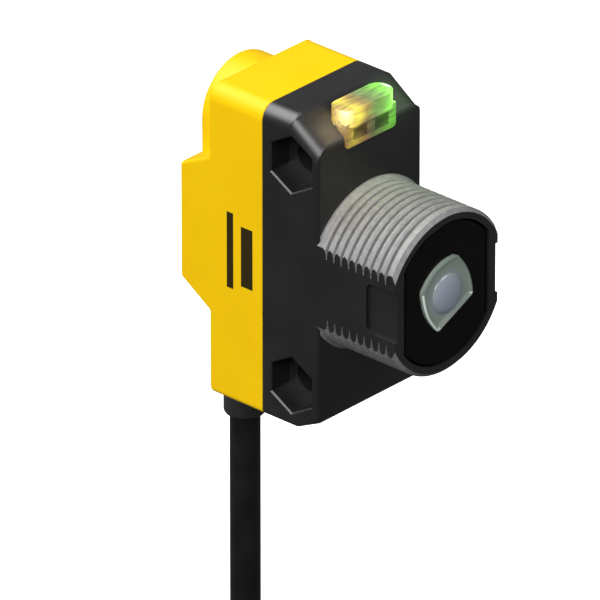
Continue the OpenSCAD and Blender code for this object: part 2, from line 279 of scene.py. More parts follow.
def apply_all(piece):
    """Applies every modifier of a piece."""
    only(piece)
    for modifier in [m.name for m in piece.modifiers]:
        bpy.ops.object.modifier_apply(modifier=modifier)


def round_edges(piece, radius_of, segments=6):
    """Rounds each edge by the radius that radius_of gives for its two ends."""
    mesh = piece.data
    radii = [radius_of(*(mesh.vertices[i].co for i in edge.vertices)) for edge in mesh.edges]
    widest = max(radii)
    old = mesh.attributes.get("bevel_weight_edge")
    if old:
        mesh.attributes.remove(old)
    weights = mesh.attributes.new("bevel_weight_edge", "FLOAT", "EDGE")
    weights.data.foreach_set("value", [radius / widest for radius in radii])
    rounding = piece.modifiers.new("rounding", "BEVEL")
    rounding.limit_method = "WEIGHT"
    rounding.width = widest
    rounding.segments = segments
    rounding.use_clamp_overlap = False
    apply_all(piece)
    mesh.attributes.remove(mesh.attributes["bevel_weight_edge"])


def smooth(piece, angle=32):
    """Smooth shading that keeps the true creases and the flat faces flat."""
    only(piece)
    bpy.ops.object.shade_smooth_by_angle(angle=math.radians(angle))
    even = piece.modifiers.new("even", "WEIGHTED_NORMAL")
    even.keep_sharp = True
    apply_all(piece)


def carve(piece, cutter, way="DIFFERENCE"):
    """Cuts one piece out of another, or joins it on."""
    tool = piece.modifiers.new("carve", "BOOLEAN")
    tool.object = cutter
    tool.operation = way
    tool.solver = "EXACT"
    apply_all(piece)
    bpy.data.objects.remove(cutter, do_unlink=True)


tie = block("strap_tie", tie_low, tie_high)
round_edges(tie, lambda a, b: cable_r + tie_thick if near(a.x, b.x) and near(a.y, b.y) else 0.0)
hole = block("hole", tie_low + Vector((tie_thick, tie_thick, -mm)),
             tie_high + Vector((-tie_thick, -tie_thick, mm)))
round_edges(hole, lambda a, b: cable_r if near(a.x, b.x) and near(a.y, b.y) else 0.0)
carve(tie, hole)
head = block("head",
             (tie_high.x - 0.3 * mm, hank_y - head_half, tie_low.z - head_past_strap),
             (tie_high.x + head_stand, hank_y + head_half, tie_high.z + head_past_strap))
round_edges(head, lambda a, b: 0.5 * mm, segments=3)
carve(tie, head, "UNION")
tongue = block("tongue",
               (tie_high.x - 0.1 * mm, hank_y + tongue_start, tie_low.z + tongue_inset),
               (tie_high.x + tongue_stand, hank_y + tongue_end, tie_high.z - tongue_inset))
round_edges(tongue, lambda a, b: 0.2 * mm, segments=2)
carve(tie, tongue, "UNION")
smooth(tie)
tie_plastic = moulded(
    "strap nylon", ((0.020, 0.020, 0.021), (0.030, 0.030, 0.031)),
    patch=3 * mm, gloss=(0.34, 0.44), grain=0.3 * mm, depth=0.008 * mm,
)
tie.data.materials.append(tie_plastic)
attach(tie, "sensor")
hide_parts("hank_tie")


# ---------------------------------------------------------------- wires and bare ends
# Four stranded conductors in thin coloured insulation, inside the body where they rise to
# the board, and again past the cut end of the jacket, where their tips are tinned.
def dress(node, material):
    """Gives a CAD node that stays in view its material."""
    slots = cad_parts[node].material_slots
    for slot in slots:
        slot.material = material


wire_tones = {
    "brown": ((0.11, 0.040, 0.014), (0.17, 0.065, 0.022)),
    "blue": ((0.010, 0.050, 0.28), (0.018, 0.080, 0.40)),
    "black": ((0.012, 0.012, 0.012), (0.022, 0.022, 0.022)),
    "white": ((0.66, 0.66, 0.64), (0.80, 0.80, 0.78)),
}
for colour, tones in wire_tones.items():
    insulation = moulded(
        colour + " insulation", tones,
        patch=2 * mm, gloss=(0.30, 0.42), grain=0.12 * mm, depth=0.004 * mm,
    )
    dress(colour + "_wire", insulation)
    dress(colour + "_lead", insulation)
tinned = moulded(
    "tinned strands", ((0.52, 0.51, 0.49), (0.78, 0.77, 0.74)),
    patch=0.3 * mm, gloss=(0.25, 0.45), grain=0.1 * mm, depth=0.02 * mm, metallic=1.0,
)
dress("lead_tips", tinned)


# ---------------------------------------------------------------- floor and light
# A plain pale floor below the hanging cable, one soft light above and behind the sensor, one
# high at its left and one in front. A fourth, above, shows only as a gloss on the edges.
# Colours are shown as mixed, with no film curve.
bpy.context.scene.view_settings.view_transform = "Standard"
bpy.ops.object.select_all(action="DESELECT")
bpy.ops.mesh.primitive_plane_add(size=14, location=(0, 0, cad_box[0][2] - 2 * mm))
floor = bpy.context.object
floor.name = "floor"
pale = moulded(
    "pale floor", ((0.90, 0.90, 0.90), (0.92, 0.92, 0.92)),
    patch=600 * mm, gloss=(0.85, 0.9), grain=3 * mm, depth=0.01 * mm,
)
pale.node_tree.nodes["Principled BSDF"].inputs["Emission Color"].default_value = (1, 1, 1, 1)
pale.node_tree.nodes["Principled BSDF"].inputs["Emission Strength"].default_value = 0.8
floor.data.materials.append(pale)
floor.visible_diffuse = False
floor.visible_glossy = False

# The room is white where it is seen, and dim where it only lights the sensor.
world = bpy.data.worlds.new("studio")
bpy.context.scene.world = world
world.use_nodes = True
room = world.node_tree.nodes["Background"]
room.inputs["Strength"].default_value = 0.13
seen = world.node_tree.nodes.new("ShaderNodeBackground")
seen.inputs["Strength"].default_value = 1.0
rays = world.node_tree.nodes.new("ShaderNodeLightPath")
either = world.node_tree.nodes.new("ShaderNodeMixShader")
for white in (room, seen):
    white.inputs["Color"].default_value = (1, 1, 1, 1)
world.node_tree.links.new(rays.outputs["Is Camera Ray"], either.inputs["Fac"])
world.node_tree.links.new(room.outputs["Background"], either.inputs[1])
world.node_tree.links.new(seen.outputs["Background"], either.inputs[2])
world.node_tree.links.new(
    either.outputs["Shader"], world.node_tree.nodes["World Output"].inputs["Surface"])


def soft_light(name, place, size, power):
    """A square soft light that looks at the object."""
    bpy.ops.object.light_add(
        type="AREA", location=place,
        rotation=Vector(place).to_track_quat("Z", "Y").to_euler(),
    )
    lamp = bpy.context.object
    lamp.name = name
    lamp.data.size = size
    lamp.data.energy = power
    return lamp


soft_light("overhead", (-0.16, 0.42, 0.55), size=0.5, power=2.9)
soft_light("left", (-0.78, -0.25, 0.66), size=0.6, power=11.3)
soft_light("front", (0.35, -0.75, 0.65), size=0.5, power=3.6)
streak = soft_light("streak", (-0.16, 0.42, 0.56), size=0.75, power=9)
streak.visible_diffuse = False


# ---------------------------------------------------------------- front housing
# The black front half and its barrel are one moulding. The top slopes down to the front
# face, the barrel is cut to two flats flush with the sides and carries the thread, and two
# nut pockets with cross holes sit in the left side.
front_low, front_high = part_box("front_housing")
half_w = front_high.x
top_z = front_high.z
foot_z = front_low.z
seam_y = front_high.y
rim_y = front_low.y
barrel_long = 10.4 * mm
front_y = rim_y + barrel_long
barrel_r = 9 * mm
top_slope = (4.1 * mm, 2.5 * mm)
foot_slope = (4.6 * mm, 1.5 * mm)
long_edge_r = 1.8 * mm
foot_edge_r = 0.6 * mm
corner_r = 0.4 * mm
seam_edge_r = 0.12 * mm
rim_chamfer = 0.4 * mm
root_fillet = 0.3 * mm
wall = 1.3 * mm


def slice_off(piece, point, normal):
    """Cuts away what lies beyond a plane and closes the cut."""
    edit(piece)
    bpy.ops.mesh.bisect(
        plane_co=point, plane_no=normal, use_fill=True, clear_outer=True, threshold=1e-7,
    )
    done()


def rod(name, radius, start, end, sides=96):
    """A round bar between two points."""
    bpy.ops.object.select_all(action="DESELECT")
    start, end = Vector(start), Vector(end)
    bpy.ops.mesh.primitive_cylinder_add(
        vertices=sides, radius=radius, depth=(end - start).length, location=(start + end) / 2,
        rotation=(end - start).to_track_quat("Z", "Y").to_euler(),
    )
    bpy.ops.object.transform_apply(location=True, rotation=True, scale=True)
    piece = bpy.context.object
    piece.name = name
    return piece


def sloped_block(name, inset, y0, y1):
    """A box between two depths, with the body's two slopes, inset on all its outsides."""
    piece = block(name, (-half_w + inset, y0, foot_z + inset), (half_w - inset, y1, top_z - inset))
    run = seam_y - top_slope[0] - front_y
    slice_off(piece, (0, seam_y - top_slope[0] + inset / 2, top_z - inset),
              (0, -top_slope[1], run))
    run = seam_y - foot_slope[0] - front_y
    slice_off(piece, (0, seam_y - foot_slope[0] + inset / 2, foot_z + inset),
              (0, -foot_slope[1], -run))
    return piece


def front_edge_radius(a, b):
    on_side = near(a.x, b.x)
    high = min(a.z, b.z) > top_z - top_slope[1] - 0.1 * mm
    low = max(a.z, b.z) < foot_z + foot_slope[1] + 0.1 * mm
    if near(a.y, seam_y) and near(b.y, seam_y):
        return 0.0
    if on_side:
        return long_edge_r if high else foot_edge_r if low else corner_r
    if near(a.y, front_y):
        return 0.5 * mm if high else 0.3 * mm
    return 0.3 * mm if high else 0.2 * mm


def soften_seam(piece):
    """Breaks the sharp edge where a half meets the other one, once its corners are round."""
    round_edges(piece, lambda a, b: seam_edge_r
                if near(a.y, seam_y) and near(b.y, seam_y) else 0.0, segments=3)


front = sloped_block("front_shell", 0, front_y, seam_y)
round_edges(front, front_edge_radius, segments=8)
soften_seam(front)

barrel = rod("barrel", barrel_r, (0, front_y + 1.4 * mm, 0), (0, rim_y, 0), sides=160)
edit(barrel)
pick(barrel, "EDGE", lambda c: near(c.y, rim_y))
bpy.ops.mesh.bevel(offset=rim_chamfer, segments=1)
done()

# The thread is one helical groove. Its section is given from the outside in, as how far out
# from the crest and how far to each side of its middle, in millimetres.
pitch = 1 * mm
thread_turns = 9
thread_start = 9.65 * mm
thread_steps = 120
groove = [
    (0.10, 0.46), (-0.02, 0.40), (-0.07, 0.28),
    (-0.14, 0.17), (-0.30, 0.10), (-0.55, 0.04),
]
bpy.ops.object.select_all(action="DESELECT")
bpy.ops.mesh.primitive_circle_add(vertices=2 * len(groove), radius=mm)
thread = bpy.context.object
thread.name = "thread"
thread_y = front_y - thread_start
sides = [(out, wide) for out, wide in groove] + [(out, -wide) for out, wide in reversed(groove)]
for corner, (out, wide) in zip(thread.data.vertices, sides):
    corner.co = (barrel_r + out * mm, thread_y + wide * mm, 0)
screw = thread.modifiers.new("screw", "SCREW")
screw.axis = "Y"
screw.angle = 2 * math.pi
screw.screw_offset = pitch
screw.iterations = thread_turns
screw.steps = thread_steps
screw.render_steps = thread_steps
screw.use_smooth_shade = False
apply_all(thread)
edit(thread)
bpy.ops.mesh.fill_holes(sides=0)
bpy.ops.mesh.normals_make_consistent(inside=False)
done()
carve(barrel, thread)

# The flats lie a hair inside the body sides, so that no two faces share a plane.
flat_step = 0.02 * mm
slice_off(barrel, (half_w - flat_step, 0, 0), (1, 0, 0))
slice_off(barrel, (flat_step - half_w, 0, 0), (-1, 0, 0))
carve(front, barrel, "UNION")

# A small fillet where the barrel leaves the front face.
edit(front)
pick(front, "EDGE", lambda c: near(c.y, front_y) and near(math.hypot(c.x, c.z), barrel_r))
bpy.ops.mesh.bevel(offset=root_fillet, segments=3, profile=0.5)
done()

# The hollow inside, less the bosses round the cross holes.
hole_gap = 25 * mm
hole_r = 1.65 * mm
nut_flats = 5.5 * mm
nut_deep = 2.75 * mm
hole_boss_r = 3 * mm
nut_boss_r = 4 * mm
nut_boss_deep = nut_deep + 0.8 * mm
hollow = sloped_block("hollow", wall, front_y + wall, seam_y + mm)
for z in (-hole_gap / 2, hole_gap / 2):
    carve(hollow, rod("boss", hole_boss_r, (-half_w, 0, z), (half_w, 0, z), sides=48))
    carve(hollow, rod("boss", nut_boss_r, (-half_w, 0, z), (-half_w + nut_boss_deep, 0, z),
                      sides=48))
carve(front, hollow)

# The stepped bore: window seat with two flats, then the round bore for the lens tube.
window_r = 7.9 * mm
window_flat = 6.4 * mm
seal_thick = 0.4 * mm
tube_bore_r = 6 * mm
tube_bore_end = seam_y - 3.6 * mm
window_low, window_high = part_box("window")


def flatted(name, radius, flat, y0, y1):
    """A disc between two depths with two upright flats."""
    piece = rod(name, radius, (0, y0, 0), (0, y1, 0), sides=128)
    slice_off(piece, (flat, 0, 0), (1, 0, 0))
    slice_off(piece, (-flat, 0, 0), (-1, 0, 0))
    return piece


carve(front, flatted("seat", window_r, window_flat, rim_y - mm, window_high.y + seal_thick))
carve(front, rod("bore", tube_bore_r, (0, rim_y - mm, 0), (0, tube_bore_end, 0)))

# Cross holes, and nut pockets whose mouths have a fine chamfer.
mouth = 0.15 * mm
for z in (-hole_gap / 2, hole_gap / 2):
    carve(front, rod("cross", hole_r, (-half_w - mm, 0, z), (half_w + mm, 0, z), sides=64))
    pocket = rod("pocket", nut_flats / math.sqrt(3), (-half_w - mouth, 0, z),
                 (-half_w + nut_deep, 0, z), sides=6)
    edit(pocket)
    bpy.ops.mesh.bisect(plane_co=(-half_w + mouth, 0, 0), plane_no=(1, 0, 0), threshold=1e-7)
    pick(pocket, "VERT", lambda c: near(c.x, -half_w - mouth))
    wider = (nut_flats + 4 * mouth) / nut_flats
    bpy.ops.transform.resize(value=(1, wider, wider), center_override=(0, 0, z))
    done()
    carve(front, pocket)

# The shallow key recess in each flat of the barrel, open at the rim.
key_half = 2.8 * mm
key_long = 3.9 * mm
key_deep = 0.35 * mm
key_corner_r = 0.8 * mm
for side in (-1, 1):
    key = block("key", (side * half_w - key_deep, rim_y - mm, -key_half),
                (side * half_w + key_deep, rim_y + key_long, key_half))
    round_edges(key, lambda a, b: key_corner_r
                if near(a.y, b.y) and near(a.z, b.z) and a.y > rim_y else 0.0)
    carve(front, key)

# The seat of the indicator lens is the lens's own form, a little larger.
lamp_half = 3.8 * mm
lamp_front = front_y - 0.35 * mm
lamp_back = front_y + 2.55 * mm
lamp_top = top_z + 0.4 * mm
plate_half = 3.75 * mm
plate_front = front_y - 0.1 * mm
plate_low = 14.0 * mm
plate_high = 16.3 * mm
plate_deep = 1.2 * mm
block_end_r = 1.3 * mm
plate_corner_r = 0.45 * mm


def lamp_form(name, grow):
    """The indicator lens: a block with round ends on a plate with rounded lower corners."""
    form = block(name, (-lamp_half - grow, lamp_front - grow, plate_high),
                 (lamp_half + grow, lamp_back + grow, lamp_top))
    round_edges(form, lambda a, b: block_end_r + grow
                if near(a.x, b.x) and near(a.y, b.y) else 0.0, segments=10)
    plate = block("plate", (-plate_half - grow, plate_front - grow, plate_low - grow),
                  (plate_half + grow, front_y + plate_deep, plate_high + 0.4 * mm))
    round_edges(plate, lambda a, b: plate_corner_r
                if near(a.x, b.x) and near(a.z, b.z) and a.z < 15 * mm else 0.0, segments=4)
    carve(form, plate, "UNION")
    return form


carve(front, lamp_form("lamp_seat", 0.05 * mm))
pipe_low = 15.6 * mm
pipe_high = 16.4 * mm
pipe_gap = 0.05 * mm
carve(front, block("light_way", (-3.65 * mm, -2.6 * mm, pipe_low - pipe_gap),
                   (3.65 * mm, seam_y + mm, pipe_high + pipe_gap)))
smooth(front)
black_plastic = moulded(
    "black moulding", ((0.010, 0.010, 0.011), (0.014, 0.014, 0.015)),
    patch=6 * mm, gloss=(0.34, 0.40), grain=0.16 * mm, depth=0.005 * mm, shine=0.5,
)
front.data.materials.append(black_plastic)

# The thread is coloured a lighter grey than the black moulding and is a little rougher; the grey
# is a painted highlight, the sheen that the light lays on its ridges.
thread_sheen = moulded(
    "thread painted sheen", ((0.19, 0.19, 0.195), (0.25, 0.25, 0.255)),
    patch=0.5 * mm, gloss=(0.48, 0.58), grain=0.05 * mm, depth=0.004 * mm, shine=0.5,
)
front.data.materials.append(thread_sheen)
# The threaded faces of the barrel, less its flats, take the grey of the painted sheen.
for face in front.data.polygons:
    spot = face.center
    out = math.hypot(spot.x, spot.z)
    if (rim_y + 0.02 * mm < spot.y < front_y - 0.02 * mm and out > barrel_r - 0.6 * mm
            and abs(spot.x) < half_w - 2 * flat_step):
        face.material_index = 1
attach(front, "sensor")
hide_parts("front_housing")


# ---------------------------------------------------------------- rear housing
# The yellow rear half. A block as wide as the body stands out of its back, with sloped top
# and underside, an arched boss above it holds the adjuster, and a round socket down its
# middle takes the cable boot. Two plain printed bars mark its left side.
back_y = seam_y + 7.3 * mm
block_y = seam_y + 11.3 * mm
block_foot = (-7.9 * mm, -5.3 * mm)
block_head = (9.6 * mm, 7.7 * mm)
rear = block("rear_shell", (-half_w, seam_y, foot_z), (half_w, back_y, top_z))
edit(rear)
bpy.ops.mesh.bisect(plane_co=(0, 0, block_foot[0]), plane_no=(0, 0, 1), threshold=1e-7)
bpy.ops.mesh.select_all(action="SELECT")
bpy.ops.mesh.bisect(plane_co=(0, 0, block_head[0]), plane_no=(0, 0, 1), threshold=1e-7)
pick(rear, "FACE", lambda c: near(c.y, back_y)
     and block_foot[0] - 0.1 * mm < c.z < block_head[0] + 0.1 * mm)
bpy.ops.mesh.extrude_region_move(TRANSFORM_OT_translate={"value": (0, block_y - back_y, 0)})
pick(rear, "VERT", lambda c: near(c.y, block_y) and near(c.z, block_foot[0]))
bpy.ops.transform.translate(value=(0, 0, block_foot[1] - block_foot[0]))
pick(rear, "VERT", lambda c: near(c.y, block_y) and near(c.z, block_head[0]))
bpy.ops.transform.translate(value=(0, 0, block_head[1] - block_head[0]))
done()


def rear_edge_radius(a, b):
    on_side = near(a.x, b.x)
    at_top = near(a.z, top_z) and near(b.z, top_z)
    at_foot = near(a.z, foot_z) and near(b.z, foot_z)
    if near(a.y, seam_y) and near(b.y, seam_y):
        return 0.0
    if near(a.y, block_y) and near(b.y, block_y):
        return 0.35 * mm
    if near(a.y, back_y) and near(b.y, back_y):
        if not on_side:
            return 0.6 * mm if at_top or at_foot else 0.3 * mm
        inside = min(a.z, b.z) > block_foot[0] - mm and max(a.z, b.z) < block_head[0] + mm
        return 0.0 if inside else 0.3 * mm
    if on_side and at_top:
        return long_edge_r
    if on_side and at_foot:
        return foot_edge_r
    if on_side and max(a.y, b.y) > back_y + mm:
        return 0.35 * mm
    return 0.0


round_edges(rear, rear_edge_radius, segments=8)
edit(rear)
pick(rear, "FACE", lambda c: near(c.y, seam_y))
bpy.ops.mesh.dissolve_faces()
done()
soften_seam(rear)

arch_r = 5.7 * mm
arch_z = 12 * mm
arch_y = seam_y + 10.4 * mm
boss = block("arch", (-arch_r, back_y - 2 * mm, 7 * mm), (arch_r, arch_y, arch_z + arch_r))
round_edges(boss, lambda a, b: arch_r * 0.999
            if near(a.x, b.x) and near(a.z, b.z) and a.z > arch_z else 0.0, segments=28)
edit(boss)
pick(boss, "EDGE", lambda c: near(c.y, arch_y))
bpy.ops.mesh.bevel(offset=0.5 * mm, segments=5, profile=0.5)
done()
carve(rear, boss, "UNION")

socket_r = 3 * mm
socket_low = -12 * mm
socket_high = 4.5 * mm
socket = rod("socket", socket_r, (0, cable_y, socket_low), (0, cable_y, socket_high))
edit(socket)
pick(socket, "EDGE", lambda c: near(c.z, socket_high))
bpy.ops.mesh.bevel(offset=1.2 * mm, segments=8, profile=0.5)
pick(socket, "EDGE", lambda c: near(c.z, socket_low))
bpy.ops.mesh.bevel(offset=0.4 * mm, segments=4, profile=0.5)
done()
carve(rear, socket, "UNION")

boot_r = (boot_high.x - boot_low.x) / 2
carve(rear, block("hollow", (-half_w + wall, seam_y - mm, foot_z + wall),
                  (half_w - wall, back_y - wall, top_z - wall)))
carve(rear, block("hollow", (-half_w + wall, back_y - 2 * mm, -2.5 * mm),
                  (half_w - wall, block_y - wall, block_head[1] - wall - 0.1 * mm)))
carve(rear, rod("bore", boot_r + 0.01 * mm, (0, cable_y, socket_low - mm),
                (0, cable_y, boot_high.z)))
carve(rear, rod("bore", cable_r + 0.01 * mm, (0, cable_y, -5 * mm), (0, cable_y, 0)))
carve(rear, block("chamber", (-3.5 * mm, back_y - 2 * mm, arch_z - 3.5 * mm),
                  (3.5 * mm, back_y + 0.1 * mm, arch_z + 3.5 * mm)))
bore_r = 2.25 * mm
mouth_r = 2.9 * mm
mouth_deep = 0.5 * mm
carve(rear, rod("shaft", bore_r, (0, back_y - mm, arch_z), (0, arch_y + mm, arch_z)))
carve(rear, rod("mouth", mouth_r, (0, arch_y - mouth_deep, arch_z), (0, arch_y + mm, arch_z)))
smooth(rear)

yellow_plastic = moulded(
    "yellow moulding", ((0.90, 0.555, 0.003), (0.94, 0.585, 0.004)),
    patch=9 * mm, gloss=(0.36, 0.44), grain=0.16 * mm, depth=0.005 * mm, shine=0.1,
)


def print_bars(material, bars, ink):
    """Prints upright bars of one ink on the left side. A bar is its middle and half sizes."""
    nodes, links = material.node_tree.nodes, material.node_tree.links
    place = nodes.new("ShaderNodeTexCoord")
    split = nodes.new("ShaderNodeSeparateXYZ")
    links.new(place.outputs["Object"], split.inputs["Vector"])

    def math_node(operation, first, second):
        node = nodes.new("ShaderNodeMath")
        node.operation = operation
        for socket, value in zip(node.inputs, (first, second)):
            if isinstance(value, float):
                socket.default_value = value
            else:
                links.new(value, socket)
        return node.outputs["Value"]

    left = math_node("LESS_THAN", split.outputs["X"], -half_w + 0.05 * mm)
    cover = None
    for y, z, half_y, half_z in bars:
        far_y = math_node("SUBTRACT", split.outputs["Y"], y)
        far_z = math_node("SUBTRACT", split.outputs["Z"], z)
        in_y = math_node("LESS_THAN", math_node("ABSOLUTE", far_y, 0.0), half_y)
        in_z = math_node("LESS_THAN", math_node("ABSOLUTE", far_z, 0.0), half_z)
        bar = math_node("MULTIPLY", in_y, in_z)
        cover = bar if cover is None else math_node("MAXIMUM", cover, bar)
    mix = nodes.new("ShaderNodeMix")
    mix.data_type = "RGBA"
    links.new(math_node("MULTIPLY", left, cover), mix.inputs["Factor"])
    links.new(nodes["tone"].outputs["Color"], mix.inputs["A"])
    mix.inputs["B"].default_value = (*ink, 1)
    links.new(mix.outputs["Result"], nodes["Principled BSDF"].inputs["Base Color"])


print_bars(
    yellow_plastic,
    [(6.1 * mm, -0.2 * mm, 0.8 * mm, 3.4 * mm), (8.4 * mm, 0.0, 0.45 * mm, 4.3 * mm)],
    ink=(0.030, 0.022, 0.006),
)
rear.data.materials.append(yellow_plastic)
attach(rear, "sensor")
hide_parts("rear_housing")


# ---------------------------------------------------------------- window
# The near-black filter plate in the mouth of the barrel, polished, with a bevelled edge and
# a squarish opening that the lens stands through.
lens_corner = 70.0
lens_r = 4.15 * mm
window_slack = 0.06 * mm
opening_slack = 0.08 * mm


def lens_prism(name, grow, y0, y1, steps=12):
    """The squarish outline of the lens between two depths. Three of its sides bow outwards."""
    piece = rod(name, mm, (0, y0, 0), (0, y1, 0), sides=4 * steps)
    bow = (0.45, 0.7, 0.45, 0.0)
    for corner in piece.data.vertices:
        angle = math.degrees(math.atan2(corner.co.z, corner.co.x))
        past = (angle - lens_corner + 90) % 360
        side, rest = int(past // 90) % 4, past % 90 - 45
        chord = lens_r * math.cos(math.radians(45)) / math.cos(math.radians(rest))
        reach = chord + bow[side] * (lens_r - chord) + grow
        corner.co.x = reach * math.cos(math.radians(angle))
        corner.co.z = reach * math.sin(math.radians(angle))
    return piece


window = flatted("window_plate", window_r - window_slack, window_flat - window_slack,
                 window_low.y, window_high.y)
carve(window, lens_prism("opening", opening_slack, window_low.y - mm, window_high.y + mm))
edit(window)
pick(window, "EDGE", lambda c: near(c.y, window_low.y) and math.hypot(c.x, c.z) > 1.4 * lens_r)
bpy.ops.mesh.bevel(offset=0.4 * mm, segments=4, profile=0.5)
done()
smooth(window)
window_filter = moulded(
    "window filter", ((0.002, 0.002, 0.002), (0.004, 0.003, 0.003)),
    patch=5 * mm, gloss=(0.14, 0.20), grain=0.5 * mm, depth=0.001 * mm, shine=0.12,
)
window.data.materials.append(window_filter)
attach(window, "sensor")
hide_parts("window")


# ---------------------------------------------------------------- objective lens
# A clear acrylic lens, moulded in one with its squarish nose and round flange. The nose has
# polished edges, with a painted highlight on its two lower sides and painted shade on the others,
# and a low dome in the middle of its face.
nose_y = rim_y - 0.15 * mm
flange_r = 5 * mm
edge_bevel = 0.22 * mm
lens = lens_prism("lens", 0, nose_y, window_high.y, steps=16)
edit(lens)
pick(lens, "FACE", lambda c: near(c.y, nose_y))
bpy.ops.mesh.inset(thickness=edge_bevel, depth=0)
bpy.ops.transform.translate(value=(0, -0.1 * mm, 0))
bpy.ops.mesh.inset(thickness=0.5 * mm, depth=0)
bpy.ops.transform.translate(value=(0, 0.2 * mm, 0))
done()
carve(lens, rod("flange", flange_r, (0, window_high.y - 0.01 * mm, 0),
                (0, window_high.y + 1.2 * mm, 0)), "UNION")
dome_r = 2.2 * mm
bpy.ops.object.select_all(action="DESELECT")
bpy.ops.mesh.primitive_uv_sphere_add(segments=64, ring_count=48, radius=dome_r)
dome = bpy.context.object
edit(dome)
bpy.ops.transform.resize(value=(1, 0.25, 1))
bpy.ops.transform.translate(value=(0, nose_y + 0.12 * mm, 0))
done()
carve(lens, dome, "UNION")
smooth(lens, 30)


def clear_lens(name, tones, clear):
    """Clear acrylic whose colour runs from its edge to its middle, a painted look of the light
    seen through it. clear is how much passes through.
    """
    material = bpy.data.materials.new(name)
    material.use_nodes = True
    nodes, links = material.node_tree.nodes, material.node_tree.links
    shader = nodes["Principled BSDF"]
    shader.inputs["Roughness"].default_value = 0.07
    shader.inputs["Transmission Weight"].default_value = clear
    shader.inputs["IOR"].default_value = 1.49
    shader.inputs["Coat Weight"].default_value = 0.5
    place = nodes.new("ShaderNodeTexCoord")
    middle = nodes.new("ShaderNodeMapping")
    middle.inputs["Scale"].default_value = (1 / lens_r, 0, 1 / lens_r)
    links.new(place.outputs["Object"], middle.inputs["Vector"])
    ring = nodes.new("ShaderNodeTexGradient")
    ring.gradient_type = "SPHERICAL"
    links.new(middle.outputs["Vector"], ring.inputs["Vector"])
    tone = nodes.new("ShaderNodeValToRGB")
    tone.color_ramp.elements[0].color = (*tones[0], 1)
    tone.color_ramp.elements[0].position = 0.3
    tone.color_ramp.elements[1].color = (*tones[1], 1)
    tone.color_ramp.elements[1].position = 0.62
    links.new(ring.outputs["Fac"], tone.inputs["Fac"])
    links.new(tone.outputs["Color"], shader.inputs["Base Color"])
    return material


# The acrylic's lighter, bluer middle is painted light, seen through the dome.
lens.data.materials.append(
    clear_lens("lens acrylic", ((0.36, 0.42, 0.37), (0.44, 0.48, 0.58)), clear=0.3))
# The bright edge colour is a painted highlight on the two lower sides, and the dim one is painted
# shade on the other sides.
lens.data.materials.append(
    clear_lens("painted highlight edge", ((0.85, 0.95, 0.88), (0.85, 0.95, 0.88)), clear=0.1))
lens.data.materials.append(
    clear_lens("painted shade edge", ((0.26, 0.34, 0.29), (0.26, 0.34, 0.29)), clear=0.3))
# The tilted edge faces of the nose take the painted highlight on the lower sides and the painted
# shade on the rest.
for face in lens.data.polygons:
    tilted = 0.2 < abs(face.normal.y) < 0.95
    near_edge = math.hypot(face.center.x, face.center.z) > 0.6 * lens_r
    if tilted and face.center.y < nose_y and near_edge:
        low_side = face.center.z + 0.3 * face.center.x < 0
        face.material_index = 1 if low_side else 2
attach(lens, "sensor")
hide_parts("objective_lens")


# ---------------------------------------------------------------- indicator lens
# The clear lens over the two lamps. Its top has a fine raised rim, two sunk pyramids in its
# plate throw the light forward, and it glows amber at the left and green at the right.
lamp = lamp_form("indicator", 0)
edit(lamp)
pick(lamp, "FACE", lambda c: near(c.z, lamp_top))
bpy.ops.mesh.inset(thickness=0.22 * mm, depth=0)
bpy.ops.transform.translate(value=(0, 0, -0.12 * mm))
bpy.ops.mesh.inset(thickness=0.35 * mm, depth=0)
bpy.ops.transform.translate(value=(0, 0, 0.10 * mm))
done()
dimple_x = 1.6 * mm
dimple_z = 15.3 * mm
dimple_half = (1.05 * mm, 0.68 * mm)
dimple_deep = 0.6 * mm
dimple_lap = 0.02 * mm
dimple_tip = 0.06
for side in (-1, 1):
    bpy.ops.object.select_all(action="DESELECT")
    bpy.ops.mesh.primitive_cube_add(
        size=1,
        location=(side * dimple_x, plate_front + dimple_deep / 2 - dimple_lap, dimple_z),
        scale=(2 * dimple_half[0], dimple_deep, 2 * dimple_half[1]),
    )
    bpy.ops.object.transform_apply(location=True, rotation=True, scale=True)
    dimple = bpy.context.object
    edit(dimple)
    pick(dimple, "VERT", lambda c: c.y > plate_front)
    bpy.ops.transform.resize(
        value=(dimple_tip, 1, dimple_tip), center_override=(side * dimple_x, 0, dimple_z))
    done()
    carve(lamp, dimple)
carve(lamp, block("pipe", (-3.6 * mm, -2.5 * mm, pipe_low),
                  (3.6 * mm, seam_y + 0.2 * mm, pipe_high)), "UNION")
smooth(lamp)


